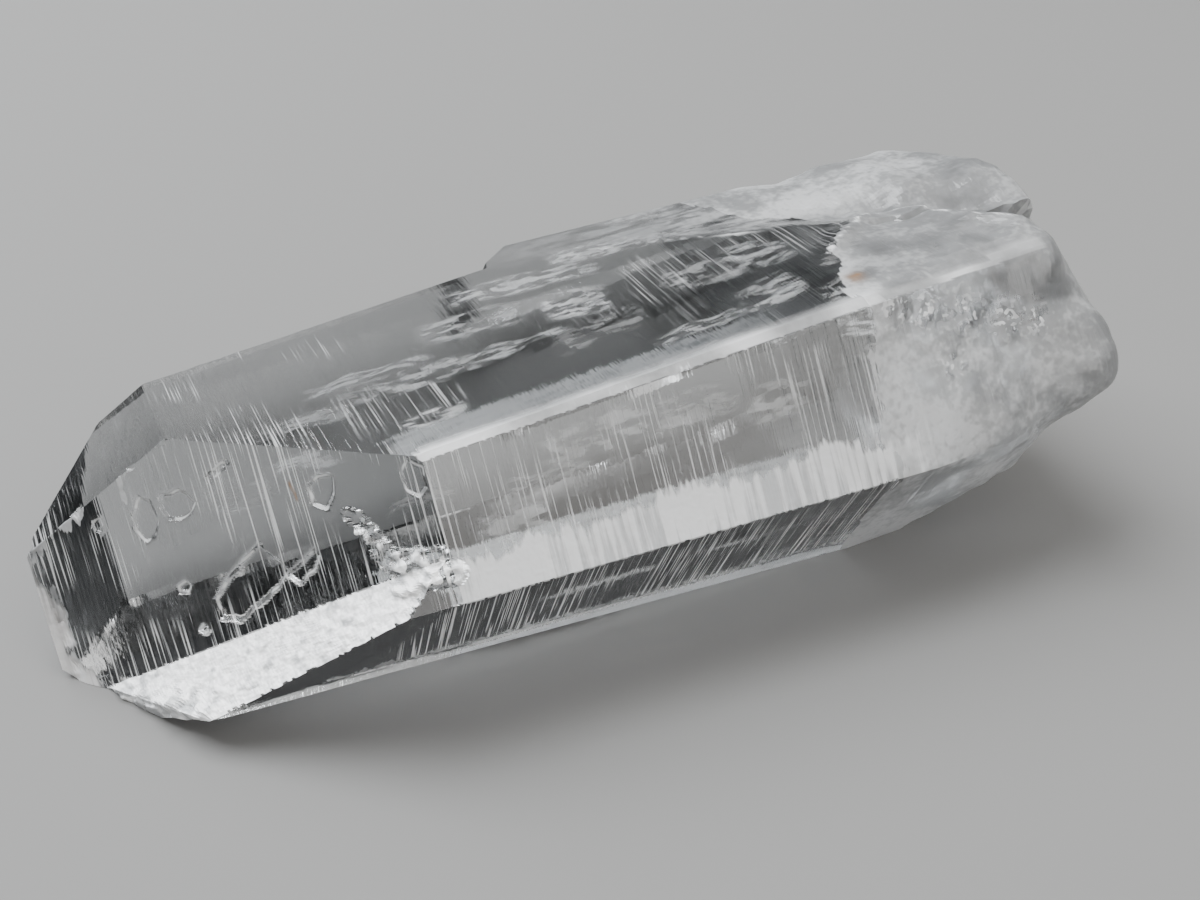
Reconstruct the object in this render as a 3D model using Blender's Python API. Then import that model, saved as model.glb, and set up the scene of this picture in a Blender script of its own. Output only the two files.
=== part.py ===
"""A Lemurian quartz point that lies on its side: one crystal, grown together with a smaller one behind it.

Everything is first made in the crystal's own axes, +X along the long axis from the tip to the root and +Z
out of the top prism face. At the end it is laid down on its resting face, with +Z up.
"""
import math
import random

import bmesh
import bpy
from mathutils import Matrix, Vector

MM = 0.001

# How the crystal lies: its long axis climbs towards the root and is turned a little about itself.
AXIS_RISE = 2.05
AXIS_ROLL = -1.1
AXIS_HEIGHT = 9.3 * MM

# Each face is (degrees about the long axis from the top towards the front, degrees that the face leans
# towards the tip, distance from the long axis in metres). Prism faces lean a little: that is the taper.
MAIN_FACES = {
    "top": (0, 3.74, 7.99 * MM),
    "back_top": (-6.4, 1.24, 9.72 * MM),
    "front_upper": (60, 2.30, 11.47 * MM),
    "front_lower": (120, 3.17, 11.40 * MM),
    "keel": (150, 4.54, 11.2 * MM),
    "under": (180, 2.0, 11.0 * MM),
    "back_lower": (-120, 3.5, 12.9 * MM),
    "back_upper": (-60, 3.83, 12.86 * MM),
    "tip_front": (60, 37.23, 9.14 * MM),
    "tip_top": (0, 39.51, 13.82 * MM),
    "tip_back": (-60, 43.66, 19.85 * MM),
    "tip_under": (180, 38.2, 20.4 * MM),
    "tip_back_lower": (-120, 38.2, 18.99 * MM),
    "root_front": (120.6, -19.3, 26.9 * MM),
    "root_under": (180, -30, 27.4 * MM),
    "root_end": (90, -76, 51.6 * MM),
    "root_end_back": (-90, -79, 51.5 * MM),
    "root_shoulder": (20, -50, 44.0 * MM),
    "root_back": (-60, -35, 41.5 * MM),
}
REAR_FACES = {
    "top": (-6.0, 1.2, 9.66 * MM),
    "inner": (90, 22.5, -14.95 * MM),
    "inner_root": (90, 11.75, -10.59 * MM),
    "under": (180, -1.0, 6.2 * MM),
    "back_lower": (-120, 0.5, 15.5 * MM),
    "back_upper": (-60, -1.5, 16.7 * MM),
    "tip_top": (0, 39.5, 0.3 * MM),
    "tip_back": (-60, 38.2, 3.7 * MM),
    "tip_back_lower": (-120, 38.2, 4.4 * MM),
    "root_end": (-90, -79, 51.8 * MM),
    "root_back": (-60, -35, 40.6 * MM),
    "root_under": (180, -40, 33.0 * MM),
}
# The white shelf is the foot of a neighbour crystal that broke away: its top is the rough contact.
SHELF_FACES = {
    "contact": (13.04, 33.13, 4.39 * MM),
    "side": (120, 3.17, 11.39 * MM),
    "keel": (150, 4.54, 11.19 * MM),
    "under": (180, 2.0, 10.9 * MM),
    "inner": (-90, 0, 1.0 * MM),
    "end": (90, 57.4, 17.4 * MM),
    "buried_top": (0, 3.74, 6.0 * MM),
    "buried_front": (60, 2.30, 11.46 * MM),
    "buried_root": (0, -90, 6.0 * MM),
}
BLOCK_SIZE = 0.2
WELD = 0.002 * MM

# The valley between the two crystals' roots: where it starts and ends, and its half width and half depth.
VALLEY_START = Vector((27, 10.0, 12.0)) * MM
VALLEY_END = Vector((58, -4.0, 8.5)) * MM
VALLEY_WIDTH = 4.0 * MM
VALLEY_DEPTH = 2.6 * MM

# Growth ledges: steps across the long axis, each a short rise followed by a slow fall.
LEDGE_SPAN = (-21.0 * MM, 40.0 * MM)
LEDGE_COUNT = 28
LEDGE_RISE = 0.014
LEDGE_SHARE = (0.15, 0.5)
LEDGE_STRAY = 0.35
LEDGE_WIDTH = 0.12 * MM
LEDGE_SEED = 11
FLAT_ENOUGH = math.radians(0.4)

# The frosted root is lumpy: where the lumps begin, how long they take to reach full height, their size.
ROOT_START = 33.0 * MM
ROOT_BLEND = 8.0 * MM
ROOT_REACH = ((34 * MM, 54 * MM), (-16 * MM, 18 * MM), (-12 * MM, 12 * MM))
ROOT_GRID = 2.2 * MM
ROOT_ROUNDING = 6
ROOT_LUMP = 0.75 * MM
ROOT_LUMP_SIZE = 8.5 * MM

# Pits in the tip's front face: (across the face, towards the tip, half length, half width, turn in degrees).
# Across is measured down the edge that the face shares with the upper front prism face.
PIT_DEPTH = 0.55 * MM
PIT_FLOOR = 0.8
PIT_MOUTH = 1.15
PITS = [
    (0.5, 19.7, 2.1, 0.85, 12),
    (-0.4, 16.9, 1.5, 0.7, 65),
    (5.1, 13.7, 3.2, 1.4, 50),
    (4.7, 10.0, 1.4, 0.9, 80),
    (0.7, 6.8, 1.1, 0.6, 25),
    (1.3, 0.9, 1.3, 0.6, 10),
    (4.6, 18.1, 0.4, 0.4, 0),
]
# Lumps that stand on that face beside the shelf: (across, towards the tip, radius).
CRUSTS = [
    (2.5, 5.5, 0.75), (3.3, 4.9, 0.8), (4.2, 4.4, 0.9), (5.0, 4.0, 0.9), (5.9, 3.5, 1.2),
    (6.3, 2.2, 1.3), (6.9, 1.0, 1.2), (7.1, 3.2, 1.2), (7.6, 2.0, 1.0),
]
CRUST_FLATNESS = 0.5
# A grain's corners are moved in or out by a share of its radius.
ROUGHNESS = (0.8, 1.15)
# Grains on the shelf's end: place along the axis, across and up, then radius.
GRAINS = [
    (-19.8, -1.4, -8.6, 0.8), (-18.9, -3.0, -8.5, 1.0), (-18.0, -4.4, -8.2, 1.1), (-17.2, -5.6, -7.8, 1.1),
    (-16.2, -6.9, -7.2, 0.9), (-15.3, -7.7, -6.7, 0.6), (-16.4, -5.0, -7.1, 0.8), (-14.8, -7.0, -6.0, 0.6),
]
# Chips broken out of the tip's edges: place, then radius.
CHIPS = [
    (-15.9, 3.2, 5.7, 0.75), (-19.6, 4.9, 2.4, 0.7), (-23.2, 6.8, -0.6, 0.8), (-22.6, 4.1, -4.4, 1.0),
    (-23.2, 3.2, -6.9, 0.6),
]


def clear_scene():
    """Remove every object that is already there."""
    for obj in list(bpy.data.objects):
        bpy.data.objects.remove(obj, do_unlink=True)


def collection(name):
    """A new collection in the scene."""
    group = bpy.data.collections.new(name)
    bpy.context.scene.collection.children.link(group)
    return group


def face_normal(around, lean):
    """Outward direction of a crystal face."""
    turn, tilt = math.radians(around), math.radians(lean)
    return Vector((-math.sin(tilt), -math.cos(tilt) * math.sin(turn), math.cos(tilt) * math.cos(turn)))


def slice_off(bm, distance, normal):
    """Cut away what is beyond a plane and close the cut."""
    geometry = bm.verts[:] + bm.edges[:] + bm.faces[:]
    cut = bmesh.ops.bisect_plane(
        bm, geom=geometry, plane_co=normal * distance, plane_no=normal, clear_outer=True
    )
    rim = [item for item in cut["geom_cut"] if isinstance(item, bmesh.types.BMEdge)]
    bmesh.ops.holes_fill(bm, edges=rim, sides=0)


def score(bm, geometry, axis, distance):
    """Cut new edges into some of the surface along a plane across one axis, and keep both sides."""
    normal = Vector([float(other == axis) for other in range(3)])
    bmesh.ops.bisect_plane(bm, geom=geometry, plane_co=normal * distance, plane_no=normal)


def crystal_block(faces):
    """A cube cut down to a crystal, one plane for each of its faces."""
    bm = bmesh.new()
    bmesh.ops.create_cube(bm, size=BLOCK_SIZE)
    for around, lean, distance in faces.values():
        slice_off(bm, distance, face_normal(around, lean))
    return bm


def as_object(bm, name, group):
    """Put a bmesh into a named object of a collection."""
    triangulate(bm)
    mesh = bpy.data.meshes.new(name)
    bm.to_mesh(mesh)
    bm.free()
    obj = bpy.data.objects.new(name, mesh)
    group.objects.link(obj)
    return obj


def triangulate(bm):
    """Weld stray doubles and turn every face into triangles, which are flat by nature."""
    bmesh.ops.remove_doubles(bm, verts=bm.verts[:], dist=WELD)
    bmesh.ops.triangulate(bm, faces=bm.faces[:])


def combine(target, tool, operation):
    """Give the target a Boolean with the tool, and apply it."""
    tool.hide_render = True
    tool.display_type = "WIRE"
    boolean = target.modifiers.new(tool.name, "BOOLEAN")
    boolean.object = tool
    boolean.operation = operation
    boolean.solver = "EXACT"
    bpy.context.view_layer.update()
    evaluated = target.evaluated_get(bpy.context.evaluated_depsgraph_get())
    mesh = bpy.data.meshes.new_from_object(evaluated)
    target.modifiers.clear()
    target.data = mesh
    edit(target, triangulate)


def edit(obj, change, *values):
    """Run a bmesh function on an object's mesh."""
    bm = bmesh.new()
    bm.from_mesh(obj.data)
    change(bm, *values)
    bm.to_mesh(obj.data)
    bm.free()


def level(points, x):
    """Straight-line reading between (place, height) points."""
    for (x0, y0), (x1, y1) in zip(points, points[1:]):
        if x <= x1:
            return y0 + (y1 - y0) * (x - x0) / (x1 - x0)
    return points[-1][1]


def add_ledges(bm):
    """Score the crystal across its axis and let each slice step out and fall back."""
    bmesh.ops.dissolve_limit(bm, angle_limit=FLAT_ENOUGH, verts=bm.verts[:], edges=bm.edges[:])
    chance = random.Random(LEDGE_SEED)
    start, end = LEDGE_SPAN
    pitch = (end - start) / LEDGE_COUNT
    feet = [start + pitch * (n + chance.uniform(-LEDGE_STRAY, LEDGE_STRAY)) for n in range(LEDGE_COUNT)]
    steps = [(-BLOCK_SIZE, 0.0)]
    for foot in feet:
        half = LEDGE_RISE * chance.uniform(*LEDGE_SHARE)
        steps += [(foot, -half), (foot + LEDGE_WIDTH, half)]
    steps.append((BLOCK_SIZE, 0.0))
    for station, _ in steps[1:-1]:
        score(bm, bm.verts[:] + bm.edges[:] + bm.faces[:], 0, station)
    for vert in bm.verts:
        vert.co.yz *= 1 + level(steps, vert.co.x)


def lump(place):
    """Height of the root's lumps at a place: crossing waves of three lengths, between -1 and 1."""
    total = 0.0
    for octave in range(3):
        turn = place * (math.tau / ROOT_LUMP_SIZE) * (1 + 0.7 * octave)
        wave = math.sin(turn.x + 1.3 * turn.y + octave) * math.sin(turn.y - 0.8 * turn.z + 2 * octave)
        total += wave * math.cos(turn.z + 0.6 * turn.x - octave) / (1 + octave)
    return total / 1.8


def root_part(bm, start):
    """The faces beyond a place along the axis, with their edges and corners."""
    faces = [face for face in bm.faces if face.calc_center_median().x > start]
    edges = {edge for face in faces for edge in face.edges}
    verts = {vert for face in faces for vert in face.verts}
    return faces + list(edges) + list(verts)


def roughen_root(bm):
    """Score the root into small fields, round its edges, then push the fields in and out."""
    for axis, (low, high) in enumerate(ROOT_REACH):
        count = round((high - low) / ROOT_GRID)
        for number in range(count + 1):
            score(bm, root_part(bm, ROOT_START), axis, low + (high - low) * number / count)
    for number in range(ROOT_ROUNDING):
        start = ROOT_START + ROOT_BLEND * (number + 1) / ROOT_ROUNDING
        soft = [vert for vert in bm.verts if vert.co.x > start]
        bmesh.ops.smooth_vert(bm, verts=soft, factor=0.5, use_axis_x=True, use_axis_y=True, use_axis_z=True)
    bm.normal_update()
    moves = []
    for vert in bm.verts:
        share = min(1.0, max(0.0, (vert.co.x - ROOT_START) / ROOT_BLEND))
        moves.append(vert.normal * lump(vert.co) * ROOT_LUMP * share)
    for vert, move in zip(bm.verts, moves):
        vert.co += move
    triangulate(bm)


def face_frame(faces, name, neighbour):
    """Axes on a face: across runs down its edge with a neighbour, along runs to the tip, out leaves it."""
    out = face_normal(*faces[name][:2])
    across = face_normal(*faces[neighbour][:2]).cross(out).normalized()
    if across.z > 0:
        across = -across
    along = across.cross(out).normalized()
    if along.x > 0:
        along = -along
    planes = [(face_normal(*faces[key][:2]), faces[key][2]) for key in (name, neighbour, "top")]
    rows = Matrix([normal for normal, _ in planes])
    corner = rows.inverted() @ Vector([distance for _, distance in planes])
    frame = Matrix([across, along, out]).transposed().to_4x4()
    return Matrix.Translation(corner) @ frame


def pit(frame, across, along, half_length, half_width, turn):
    """A six-sided, slightly tapered plug that leaves a flat-bottomed pit."""
    bm = bmesh.new()
    bmesh.ops.create_cone(
        bm, cap_ends=True, segments=6, radius1=PIT_FLOOR, radius2=PIT_MOUTH, depth=2 * PIT_DEPTH
    )
    shape = Matrix.Diagonal((half_length * MM, half_width * MM, 1, 1))
    place = Matrix.Translation((across * MM, along * MM, 0)) @ Matrix.Rotation(math.radians(turn), 4, "Z")
    bmesh.ops.transform(bm, matrix=frame @ place @ shape, verts=bm.verts)
    bmesh.ops.recalc_face_normals(bm, faces=bm.faces)
    return bm


def grain(place, radius, seed, flatness=1.0):
    """A rough grain: a coarse icosphere with its corners moved a little, put in its place."""
    chance = random.Random(seed)
    bm = bmesh.new()
    bmesh.ops.create_icosphere(bm, subdivisions=2, radius=radius)
    for vert in bm.verts:
        vert.co *= chance.uniform(*ROUGHNESS)
    bmesh.ops.transform(bm, matrix=place @ Matrix.Diagonal((1, 1, flatness, 1)), verts=bm.verts)
    return bm


def add_grains(target, group, name, table, operation):
    """Give the target a Boolean with every grain of a table."""
    for number, (x, y, z, radius) in enumerate(table):
        shape = grain(Matrix.Translation(Vector((x, y, z)) * MM), radius * MM, number)
        combine(target, as_object(shape, f"{name}_{number}", group), operation)


def quartz_material():
    """Clear quartz with a faint grey."""
    material = bpy.data.materials.new("quartz")
    material.use_nodes = True
    shader = material.node_tree.nodes["Principled BSDF"]
    shader.inputs["Base Color"].default_value = (0.90, 0.91, 0.91, 1)
    shader.inputs["Roughness"].default_value = 0.05
    shader.inputs["Metallic"].default_value = 0.0
    shader.inputs["IOR"].default_value = 1.544
    shader.inputs["Transmission Weight"].default_value = 1.0
    return material


def valley(group):
    """The long hollow between the two roots: a stretched sphere that cuts deeper towards the end."""
    bm = bmesh.new()
    bmesh.ops.create_icosphere(bm, subdivisions=3, radius=1.0)
    run = VALLEY_END - VALLEY_START
    turn = run.to_track_quat("X", "Z").to_matrix().to_4x4()
    shape = Matrix.Diagonal((run.length, VALLEY_WIDTH, VALLEY_DEPTH, 1))
    bmesh.ops.transform(bm, matrix=Matrix.Translation(VALLEY_END) @ turn @ shape, verts=bm.verts)
    return as_object(bm, "valley", group)


def lay_down(obj):
    """Turn the crystal onto its resting side and cut its resting face flat."""
    rise = Matrix.Rotation(math.radians(-AXIS_RISE), 4, "Y")
    roll = Matrix.Rotation(math.radians(AXIS_ROLL), 4, "X")
    obj.data.transform(Matrix.Translation((0, 0, AXIS_HEIGHT)) @ rise @ roll)
    edit(obj, slice_off, 0.0, Vector((0, 0, -1)))


def centre_over_origin(obj):
    """Move the crystal so that the middle of its length and width is over the origin."""
    for axis in range(2):
        places = [vert.co[axis] for vert in obj.data.vertices]
        middle = (min(places) + max(places)) / 2
        for vert in obj.data.vertices:
            vert.co[axis] -= middle


def build():
    """Make the crystal and lay it down."""
    clear_scene()
    parts = collection("lemurian_quartz_crystal")
    tools = collection("cutters")
    crystal = as_object(crystal_block(MAIN_FACES), "quartz_crystal", parts)
    combine(crystal, as_object(crystal_block(REAR_FACES), "rear_crystal", tools), "UNION")
    combine(crystal, as_object(crystal_block(SHELF_FACES), "contact_shelf", tools), "UNION")
    combine(crystal, valley(tools), "DIFFERENCE")
    frame = face_frame(MAIN_FACES, "tip_front", "front_upper")
    for number, (across, along, radius) in enumerate(CRUSTS):
        place = frame @ Matrix.Translation((across * MM, along * MM, 0))
        shape = grain(place, radius * MM, number, CRUST_FLATNESS)
        combine(crystal, as_object(shape, f"crust_{number}", tools), "UNION")
    add_grains(crystal, tools, "grain", GRAINS, "UNION")
    for number, shape in enumerate(PITS):
        combine(crystal, as_object(pit(frame, *shape), f"pit_{number}", tools), "DIFFERENCE")
    add_grains(crystal, tools, "chip", CHIPS, "DIFFERENCE")
    edit(crystal, add_ledges)
    edit(crystal, roughen_root)
    lay_down(crystal)
    centre_over_origin(crystal)
    crystal.data.materials.clear()
    crystal.data.materials.append(quartz_material())


build()
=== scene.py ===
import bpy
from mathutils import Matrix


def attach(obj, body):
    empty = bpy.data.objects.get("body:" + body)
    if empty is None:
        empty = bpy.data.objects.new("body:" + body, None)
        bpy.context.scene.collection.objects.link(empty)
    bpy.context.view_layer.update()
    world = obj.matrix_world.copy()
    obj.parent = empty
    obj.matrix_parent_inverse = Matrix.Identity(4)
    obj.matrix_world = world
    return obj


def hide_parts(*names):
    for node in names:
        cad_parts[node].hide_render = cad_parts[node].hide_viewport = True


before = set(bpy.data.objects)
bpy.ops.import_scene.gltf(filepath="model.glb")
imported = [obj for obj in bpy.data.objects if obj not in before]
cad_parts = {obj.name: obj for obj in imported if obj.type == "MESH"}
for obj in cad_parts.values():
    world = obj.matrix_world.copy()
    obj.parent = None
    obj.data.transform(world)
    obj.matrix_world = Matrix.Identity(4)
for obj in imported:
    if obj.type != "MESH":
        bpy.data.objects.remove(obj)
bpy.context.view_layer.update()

import math

import bpy
import numpy as np

# The studio: a wide pale sheet that the crystal lies on, a large soft window behind it to the left, a soft
# panel above, and a weak one on the camera's side. The camera looks down on the pitted end.
FLOOR_HALF = 1.2
FLOOR_COLOUR = (0.15, 0.149, 0.146, 1)
FLOOR_ROUGHNESS = 0.8
# The sheet lies a hair below the crystal, so that the two never share a plane.
FLOOR_DROP = 0.00003
WORLD_GREY = (0.05, 0.052, 0.056, 1)
CAMERA_PLACE = (-0.034466, -0.073463, 0.062723)
CAMERA_TURN = (55.5712, -0.0054, -26.0926)
LENS_MM, SENSOR_MM = 40.515, 36
NEAREST_SEEN = 0.001
LIGHT_AIM = (0.0, 0.0, 0.01)
# Each light: its place, the length of its side, its watts and its colour.
SOFT_LIGHTS = {
    "window": ((-0.19, 0.34, 0.62), 0.60, 18.0, (0.95, 0.975, 1.0)),
    "overhead": ((0.30, -0.02, 0.66), 1.20, 8.0, (1.0, 0.99, 0.97)),
    "front_fill": ((0.10, -0.52, 0.26), 0.50, 3.0, (1.0, 0.98, 0.95)),
}


class Socket:
    """A shader value that + - * turn into Math nodes."""

    def __init__(self, material, link):
        self.material, self.link = material, link

    def _math(self, operation, *values):
        return self.material.node("ShaderNodeMath", {"operation": operation}, dict(enumerate(values)))

    def __add__(self, other):
        return self._math("ADD", self, other)

    def __radd__(self, other):
        return self._math("ADD", other, self)

    def __sub__(self, other):
        return self._math("SUBTRACT", self, other)

    def __rsub__(self, other):
        return self._math("SUBTRACT", other, self)

    def __mul__(self, other):
        return self._math("MULTIPLY", self, other)

    def __rmul__(self, other):
        return self._math("MULTIPLY", other, self)

    def at_least(self, other):
        """The larger of the two."""
        return self._math("MAXIMUM", self, other)

    def size(self):
        """The value without its sign."""
        return self._math("ABSOLUTE", self)

    def rise(self, start, end):
        """0 below start, 1 above end, smooth between."""
        return self.material.node(
            "ShaderNodeMapRange", {"interpolation_type": "SMOOTHSTEP"}, {"Value": self, 1: start, 2: end}
        )


class Finish:
    """A material whose nodes are made one by one, each from its type, settings and inputs."""

    def __init__(self, name):
        self.data = bpy.data.materials.new(name)
        self.data.use_nodes = True
        self.tree = self.data.node_tree
        self.tree.nodes.clear()

    def node(self, kind, settings=None, inputs=None, output=0):
        """Make a node, set it up, fill or join its inputs, and hand over one of its outputs."""
        made = self.tree.nodes.new(kind)
        for key, value in (settings or {}).items():
            setattr(made, key, value)
        for key, value in (inputs or {}).items():
            socket = made.inputs[key]
            if isinstance(value, Socket):
                self.tree.links.new(value.link, socket)
            else:
                socket.default_value = value
        return Socket(self, made.outputs[output])

    def attribute(self, name):
        """A number that the mesh holds at its points."""
        return self.node("ShaderNodeAttribute", {"attribute_name": name}, output=2)

    def noise(self, place, scale, detail, rough):
        """Soft noise, finer with a larger scale."""
        return self.node(
            "ShaderNodeTexNoise", {}, {"Vector": place, "Scale": scale, "Detail": detail, "Roughness": rough}
        )

    def bump(self, strength, distance, height, invert=False, **more):
        """Relief in the shading alone: its strength, its depth in metres and its height."""
        inputs = {"Strength": strength, "Distance": distance, "Height": height, **more}
        return self.node("ShaderNodeBump", {"invert": invert}, inputs)

    def mix(self, share, first, second):
        """One colour fading into another."""
        return self.node(
            "ShaderNodeMix", {"data_type": "RGBA"}, {0: share, 6: first, 7: second}, output=2
        )

    def blend(self, share, first, second):
        """One shader fading into another."""
        return self.node("ShaderNodeMixShader", {}, {0: share, 1: first, 2: second})

    def surface(self, shader):
        """Send a shader to the output."""
        self.last = self.tree.nodes.new("ShaderNodeOutputMaterial")
        self.tree.links.new(shader.link, self.last.inputs["Surface"])

    def inside(self, shader):
        """Fill the piece's inside with a volume shader."""
        self.tree.links.new(shader.link, self.last.inputs["Volume"])


def put_object(name, data):
    """A new object in the scene, at the origin."""
    obj = bpy.data.objects.new(name, data)
    bpy.context.scene.collection.objects.link(obj)
    return obj


def floor_sheet():
    """A flat square sheet just under height 0, with a paper-like finish in one plain grey."""
    half = FLOOR_HALF
    mesh = bpy.data.meshes.new("floor")
    corners = [(-half, -half), (half, -half), (half, half), (-half, half)]
    mesh.from_pydata([(x, y, -FLOOR_DROP) for x, y in corners], [], [(0, 1, 2, 3)])
    paper = Finish("floor_paper")
    paper.surface(
        paper.node("ShaderNodeBsdfPrincipled", {}, {"Base Color": FLOOR_COLOUR, "Roughness": FLOOR_ROUGHNESS})
    )
    mesh.materials.append(paper.data)
    return put_object("floor", mesh)


def soft_light(name, place, side, watts, colour):
    """A square area light that looks at the crystal's middle."""
    lamp = bpy.data.lights.new(name, "AREA")
    lamp.size, lamp.energy, lamp.color = side, watts, colour
    obj = put_object(name, lamp)
    obj.location = place
    aim = np.array(LIGHT_AIM) - np.array(place)
    flat = math.hypot(aim[0], aim[1])
    obj.rotation_euler = (math.atan2(flat, -aim[2]), 0, math.atan2(-aim[0], aim[1]))


floor_sheet()
for light_name, (place, side, watts, colour) in SOFT_LIGHTS.items():
    soft_light(light_name, place, side, watts, colour)
world = bpy.data.worlds.new("studio")
world.use_nodes = True
world.node_tree.nodes["Background"].inputs["Color"].default_value = WORLD_GREY
bpy.context.scene.world = world
lens = bpy.data.cameras.new("camera")
lens.sensor_width, lens.lens, lens.clip_start = SENSOR_MM, LENS_MM, NEAREST_SEEN
camera = put_object("camera", lens)
camera.location = CAMERA_PLACE
camera.rotation_euler = [math.radians(turn) for turn in CAMERA_TURN]
bpy.context.scene.camera = camera


# The crystal: one piece of clear quartz with a smaller one grown together behind it, a white shelf where a
# neighbour broke away, and a frosted, rounded root. It is worked out as rays that leave a line inside the
# crystal and end on the nearest of its flat faces, so every face stays flat and every edge sharp.
MM = 0.001
AXIS_RISE = 2.05
AXIS_ROLL = -1.1
AXIS_HEIGHT = 9.3
CENTRE_SHIFT = (-14.8809, -1.6717)

# (degrees about the long axis, degrees of lean towards the tip, millimetres from the long axis)
MAIN_FACES = {
    "top": (0, 3.74, 7.99), "back_top": (-6.4, 1.24, 9.72), "front_upper": (60, 2.30, 11.47),
    "front_lower": (120, 3.17, 11.40), "keel": (150, 4.54, 11.2), "under": (180, 2.0, 11.0),
    "back_lower": (-120, 3.5, 12.9), "back_upper": (-60, 3.83, 12.86), "tip_front": (60, 37.23, 9.14),
    "tip_top": (0, 39.51, 13.82), "tip_back": (-60, 43.66, 19.85), "tip_under": (180, 38.2, 20.4),
    "tip_back_lower": (-120, 38.2, 18.99), "root_front": (120.6, -19.3, 26.9), "root_under": (180, -30, 27.4),
    "root_end": (90, -76, 51.6), "root_end_back": (-90, -79, 51.5), "root_shoulder": (20, -50, 44.0),
    "root_back": (-60, -35, 41.5), "ridge": (30, 3.35, 11.07), "foot_edge": (135, 3.9, 11.25),
}
REAR_FACES = {
    "top": (-6.0, 1.2, 9.66), "inner": (90, 22.5, -14.95), "inner_root": (90, 11.75, -10.59),
    "under": (180, -1.0, 6.2), "back_lower": (-120, 0.5, 15.5), "back_upper": (-60, -1.5, 16.7),
    "tip_top": (0, 39.5, 0.3), "tip_back": (-60, 38.2, 3.7), "tip_back_lower": (-120, 38.2, 4.4),
    "root_end": (-90, -79, 51.8), "root_back": (-60, -35, 40.6), "root_under": (180, -40, 33.0),
}
SHELF_FACES = {
    "contact": (13.04, 33.13, 4.39), "side": (120, 3.17, 11.39), "keel": (150, 4.54, 11.19),
    "under": (180, 2.0, 10.9), "inner": (-90, 0, 1.0), "end": (90, 57.4, 17.4),
    "buried_top": (0, 3.74, 6.0), "buried_front": (60, 2.30, 11.46), "buried_root": (0, -90, 6.0),
}
# The line inside the crystal that the rays leave: its place along the axis, then across and up.
SPINE = np.array([
    (-23.04, 4.365, -4.5), (-22.0, 3.5, -6.0), (-21.0, 2.5, -7.8), (-20.0, 2.4, -8.0), (-18.0, 3.0, -7.5),
    (-15.0, 3.2, -6.5), (-10.0, 3.0, -5.5), (-4.0, 2.5, -4.5), (6.0, 2.0, -3.5), (20.0, 2.0, -2.5),
    (33.0, 1.5, -1.5), (46.0, 1.0, 0.0),
])
# The long edges, as seen along the body, and how many columns of rays stand between each and the next one
# round: upper front, shelf's inner edge, lower front, foot, lower back, back and upper back.
GUIDES = (
    (90, ((-23.04, 6.33, -1.09), (-13.05, 2.32, 7.15), (0.0, -8.63, 8.0), (40.0, -9.0, 10.6))),
    (24, ((-23.04, 2.4, -7.9), (-20.0, -0.39, -8.11), (0.0, -11.72, 2.67), (6.0, -12.1, 2.4),
          (40.0, -13.6, 2.5))),
    (28, ((-23.04, 2.35, -7.95), (-21.0, 0.5, -8.6), (-18.0, -4.1, -7.6), (-15.1, -8.35, -6.7),
          (-3.4, -13.05, 0.05), (40.0, -15.4, -0.5))),
    (16, ((-23.04, 2.4, -8.1), (-20.0, -1.6, -10.3), (-15.0, -8.2, -7.1), (0.0, -8.5, -8.0),
          (30.0, -9.0, -10.5), (40.0, -10.8, -8.5))),
    (16, ((-23.04, 3.0, -7.9), (-20.0, 3.8, -10.2), (-15.0, 7.8, -10.5), (10.0, 9.1, -11.4),
          (40.0, 12.8, -8.5))),
    (22, ((-23.04, 6.5, -1.2), (-15.0, 13.8, -0.1), (8.0, 15.5, 0.0), (15.0, 18.3, 0.6), (46.0, 18.1, -0.2))),
    (44, ((-23.04, 6.5, -0.9), (-15.0, 10.5, 5.5), (-10.0, 9.9, 7.4), (14.0, 10.9, 8.9), (18.0, 13.8, 8.7),
          (46.0, 12.6, 9.4))),
)
TIP_ROWS, BODY_ROWS, ROOT_ROWS = 190, 130, 84
TIP_START, TIP_END, BODY_END, ROOT_SPINE_END = -22.99, 5.0, 37.0, 44.0
COLUMNS = sum(count for count, _ in GUIDES)
# The least angle between two guides, how far apart two blocks may be and still join, the slowness at which a
# ray counts as running along a face, and the number of steps round in which edges are looked for.
LEAST_GAP, JOIN_SLACK, PARALLEL, EDGE_STEPS = 0.03, 1.002, 1e-9, 2048
ROOT_SHARPNESS, ROOT_LEAST_GAP = 26.0, 0.4


def face_planes(faces):
    """Outward directions and distances: minus sine of the lean, then its cosine turned about the axis."""
    table = np.array(list(faces.values()), float)
    around, lean, distance = np.radians(table[:, 0]), np.radians(table[:, 1]), table[:, 2]
    normals = np.stack(
        [-np.sin(lean), -np.cos(lean) * np.sin(around), np.cos(lean) * np.cos(around)], axis=1
    )
    return normals, distance


def reach(start, heading, normals, distances):
    """How far each ray goes inside a flat-faced block: the least, over the faces it heads out of, of the
    distance to the face divided by how squarely it heads there. Also the way in, and which face ends it."""
    out = np.full(heading.shape[:-1], np.inf)
    into = np.full(heading.shape[:-1], -np.inf)
    which = np.zeros(heading.shape[:-1], int)
    for number, (normal, distance) in enumerate(zip(normals, distances)):
        gap = distance - start @ normal
        speed = heading @ normal
        with np.errstate(divide="ignore", invalid="ignore"):
            travel = gap / speed
        nearer = (speed > PARALLEL) & (travel < out)
        out = np.where(nearer, travel, out)
        which = np.where(nearer, number, which)
        into = np.where((speed < -PARALLEL) & (travel > into), travel, into)
    return out, into, which


MAIN, REAR, SHELF = face_planes(MAIN_FACES), face_planes(REAR_FACES), face_planes(SHELF_FACES)
ALL_NORMALS = np.concatenate([MAIN[0], REAR[0], SHELF[0]])
ALL_DISTANCES = np.concatenate([MAIN[1], REAR[1], SHELF[1]])


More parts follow.
